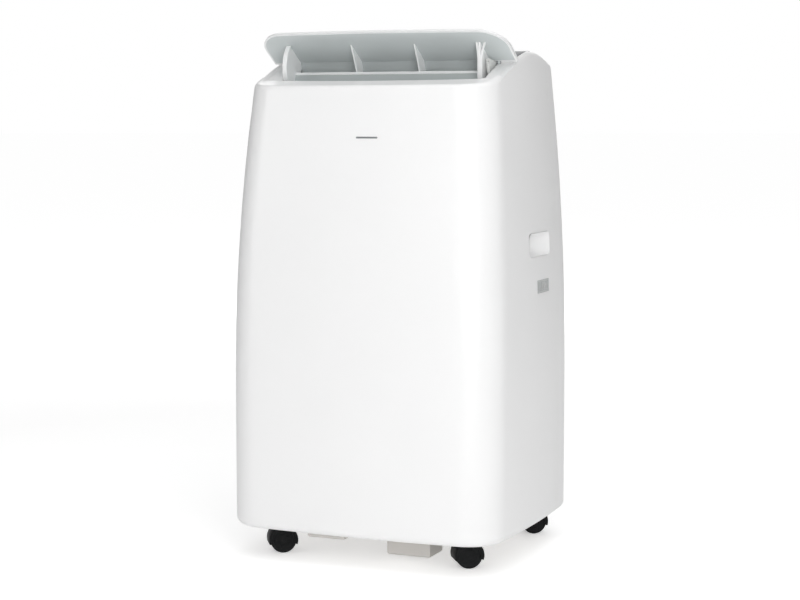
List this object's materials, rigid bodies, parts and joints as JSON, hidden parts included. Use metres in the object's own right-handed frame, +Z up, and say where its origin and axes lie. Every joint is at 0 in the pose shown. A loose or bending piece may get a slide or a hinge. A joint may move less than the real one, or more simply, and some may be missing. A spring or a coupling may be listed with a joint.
{
  "type": "portable air conditioner",
  "caption": "Tall white portable air conditioner on castors with a motorised louver lid on top, side handles and a rear exhaust outlet.",
  "frame": {"origin": "on the floor under the middle of the overall box", "axes": "+Z up, front (louver outlet side) faces -Y, +X to the viewer's right when facing the front"},
  "size_m": [0.4446, 0.3859, 0.7961],
  "materials": {
    "casing_white": "fine satin",
    "lid_white": "satin",
    "liner_grey": "matte",
    "vane_white": "satin",
    "gear_white": "satin, self-lubricating",
    "panel_grey": "fine matte",
    "button_grey": "satin",
    "display_black": "gloss",
    "vent_grey": "matte",
    "pan_grey": "matte",
    "castor_black": "satin",
    "castor_tread": "satin",
    "filter_mesh": "fine mesh",
    "foam_black": "moulded foam",
    "wheel_grey": "satin",
    "steel": "zinc plated",
    "motor_steel": "satin",
    "compressor_black": "semi-gloss",
    "fin_aluminium": "bare",
    "copper": "bare copper tube",
    "rubber": "matte",
    "board_green": "solder mask"
  },
  "bodies": {
    "casing": {"base_pan": "pan_grey", "blower_housing": "foam_black", "blower_motor": "motor_steel", "compressor": "compressor_black", "compressor_grommets": "rubber", "condenser": "fin_aluminium", "control_box": "steel", "control_panel": "panel_grey", "cord_gland": "rubber", "cord_hooks": "casing_white", "deck": "foam_black", "display_window": "display_black", "drain_spouts": "casing_white", "evaporator": "fin_aluminium", "exhaust_frame": "casing_white", "exhaust_guard": "vent_grey", "fan_housing": "foam_black", "fan_motor": "motor_steel", "front_shell": "casing_white", "handle_cups": "casing_white", "louver_motor": "motor_steel", "main_board": "board_green", "outlet_duct": "foam_black", "outlet_guard": "vane_white", "pivot_bushes": "gear_white", "rear_shell": "casing_white", "refrigerant_pipes": "copper", "sensor_vent": "vent_grey", "shell_screws": "steel", "top_cover": "casing_white"},
    "lid": {"lid_shell": "lid_white", "lid_liner": "liner_grey", "lower_vane": "vane_white", "end_plate_left": "vane_white", "end_plate_right": "vane_white", "sector_gear": "gear_white", "pivot_pins": "steel"},
    "louver_pinion": {"louver_pinion": "gear_white"},
    "upper_intake": {"upper_grille": "casing_white", "upper_filter": "filter_mesh"},
    "lower_intake": {"lower_grille": "casing_white", "lower_filter": "filter_mesh"},
    "drain_cap_mid": {"drain_cap_mid": "rubber"},
    "drain_cap_low": {"drain_cap_low": "rubber"},
    "blower_wheel": {"blower_wheel": "wheel_grey"},
    "fan_wheel": {"fan_wheel": "wheel_grey"},
    "button_power": {"button_power": "button_grey"},
    "button_mode": {"button_mode": "button_grey"},
    "button_fan": {"button_fan": "button_grey"},
    "button_timer": {"button_timer": "button_grey"},
    "button_up": {"button_up": "button_grey"},
    "button_down": {"button_down": "button_grey"},
    "castor_front_left": {"castor_hood_front_left": "castor_black"},
    "castor_wheels_front_left": {"castor_wheels_front_left": "castor_tread"},
    "castor_front_right": {"castor_hood_front_right": "castor_black"},
    "castor_wheels_front_right": {"castor_wheels_front_right": "castor_tread"},
    "castor_rear_left": {"castor_hood_rear_left": "castor_black"},
    "castor_wheels_rear_left": {"castor_wheels_rear_left": "castor_tread"},
    "castor_rear_right": {"castor_hood_rear_right": "castor_black"},
    "castor_wheels_rear_right": {"castor_wheels_rear_right": "castor_tread"}
  },
  "joints": [
    {"name": "louver_tilt", "type": "hinge", "parent": "casing", "child": "lid", "pos_m": [0, -0.034, 0.7472], "axis": [1, 0, 0], "range_deg": [0, 54]},
    {"name": "louver_pinion_spin", "type": "hinge", "parent": "casing", "child": "louver_pinion", "pos_m": [0.163, -0.05622, 0.71875], "axis": [1, 0, 0], "range_deg": [-275, 5]},
    {"name": "upper_intake_pull", "type": "slide", "parent": "casing", "child": "upper_intake", "axis": [0, 1, 0], "range_m": [0, 0.04]},
    {"name": "lower_intake_pull", "type": "slide", "parent": "casing", "child": "lower_intake", "axis": [0, 1, 0], "range_m": [0, 0.04]},
    {"name": "drain_cap_mid_pull", "type": "slide", "parent": "casing", "child": "drain_cap_mid", "axis": [0, 1, 0], "range_m": [0, 0.02]},
    {"name": "drain_cap_low_pull", "type": "slide", "parent": "casing", "child": "drain_cap_low", "axis": [0, 1, 0], "range_m": [0, 0.02]},
    {"name": "blower_spin", "type": "hinge", "parent": "casing", "child": "blower_wheel", "pos_m": [0, -0.041, 0.578], "axis": [0, 1, 0], "continuous": true},
    {"name": "fan_spin", "type": "hinge", "parent": "casing", "child": "fan_wheel", "pos_m": [-0.04, 0.042, 0.339], "axis": [0, 1, 0], "continuous": true},
    {"name": "button_power_press", "type": "slide", "parent": "casing", "child": "button_power", "axis": [0, -0.1994, 0.9799], "range_m": [-0.0012, 0], "stiffness_N_per_m": 400},
    {"name": "button_mode_press", "type": "slide", "parent": "casing", "child": "button_mode", "axis": [0, -0.1994, 0.9799], "range_m": [-0.0012, 0], "stiffness_N_per_m": 400},
    {"name": "button_fan_press", "type": "slide", "parent": "casing", "child": "button_fan", "axis": [0, -0.1994, 0.9799], "range_m": [-0.0012, 0], "stiffness_N_per_m": 400},
    {"name": "button_timer_press", "type": "slide", "parent": "casing", "child": "button_timer", "axis": [0, -0.1994, 0.9799], "range_m": [-0.0012, 0], "stiffness_N_per_m": 400},
    {"name": "button_up_press", "type": "slide", "parent": "casing", "child": "button_up", "axis": [0, -0.1994, 0.9799], "range_m": [-0.0012, 0], "stiffness_N_per_m": 400},
    {"name": "button_down_press", "type": "slide", "parent": "casing", "child": "button_down", "axis": [0, -0.1994, 0.9799], "range_m": [-0.0012, 0], "stiffness_N_per_m": 400},
    {"name": "castor_front_left_swivel", "type": "hinge", "parent": "casing", "child": "castor_front_left", "pos_m": [-0.138, -0.114, 0.05], "axis": [0, 0, 1], "continuous": true},
    {"name": "castor_front_left_roll", "type": "hinge", "parent": "castor_front_left", "child": "castor_wheels_front_left", "pos_m": [-0.14961, -0.12183, 0.02], "axis": [-0.5592, 0.829, 0], "continuous": true},
    {"name": "castor_front_right_swivel", "type": "hinge", "parent": "casing", "child": "castor_front_right", "pos_m": [0.138, -0.114, 0.05], "axis": [0, 0, 1], "continuous": true},
    {"name": "castor_front_right_roll", "type": "hinge", "parent": "castor_front_right", "child": "castor_wheels_front_right", "pos_m": [0.14961, -0.10617, 0.02], "axis": [0.5592, -0.829, 0], "continuous": true},
    {"name": "castor_rear_left_swivel", "type": "hinge", "parent": "casing", "child": "castor_rear_left", "pos_m": [-0.15, 0.146, 0.05], "axis": [0, 0, 1], "continuous": true},
    {"name": "castor_rear_left_roll", "type": "hinge", "parent": "castor_rear_left", "child": "castor_wheels_rear_left", "pos_m": [-0.16397, 0.14502, 0.02], "axis": [-0.0698, 0.9976, 0], "continuous": true},
    {"name": "castor_rear_right_swivel", "type": "hinge", "parent": "casing", "child": "castor_rear_right", "pos_m": [0.15, 0.146, 0.05], "axis": [0, 0, 1], "continuous": true},
    {"name": "castor_rear_right_roll", "type": "hinge", "parent": "castor_rear_right", "child": "castor_wheels_rear_right", "pos_m": [0.16161, 0.15383, 0.02], "axis": [0.5592, -0.829, 0], "continuous": true}
  ],
  "couplings": [
    {"joint": "louver_pinion_spin", "follows": "louver_tilt", "ratio": -5}
  ]
}
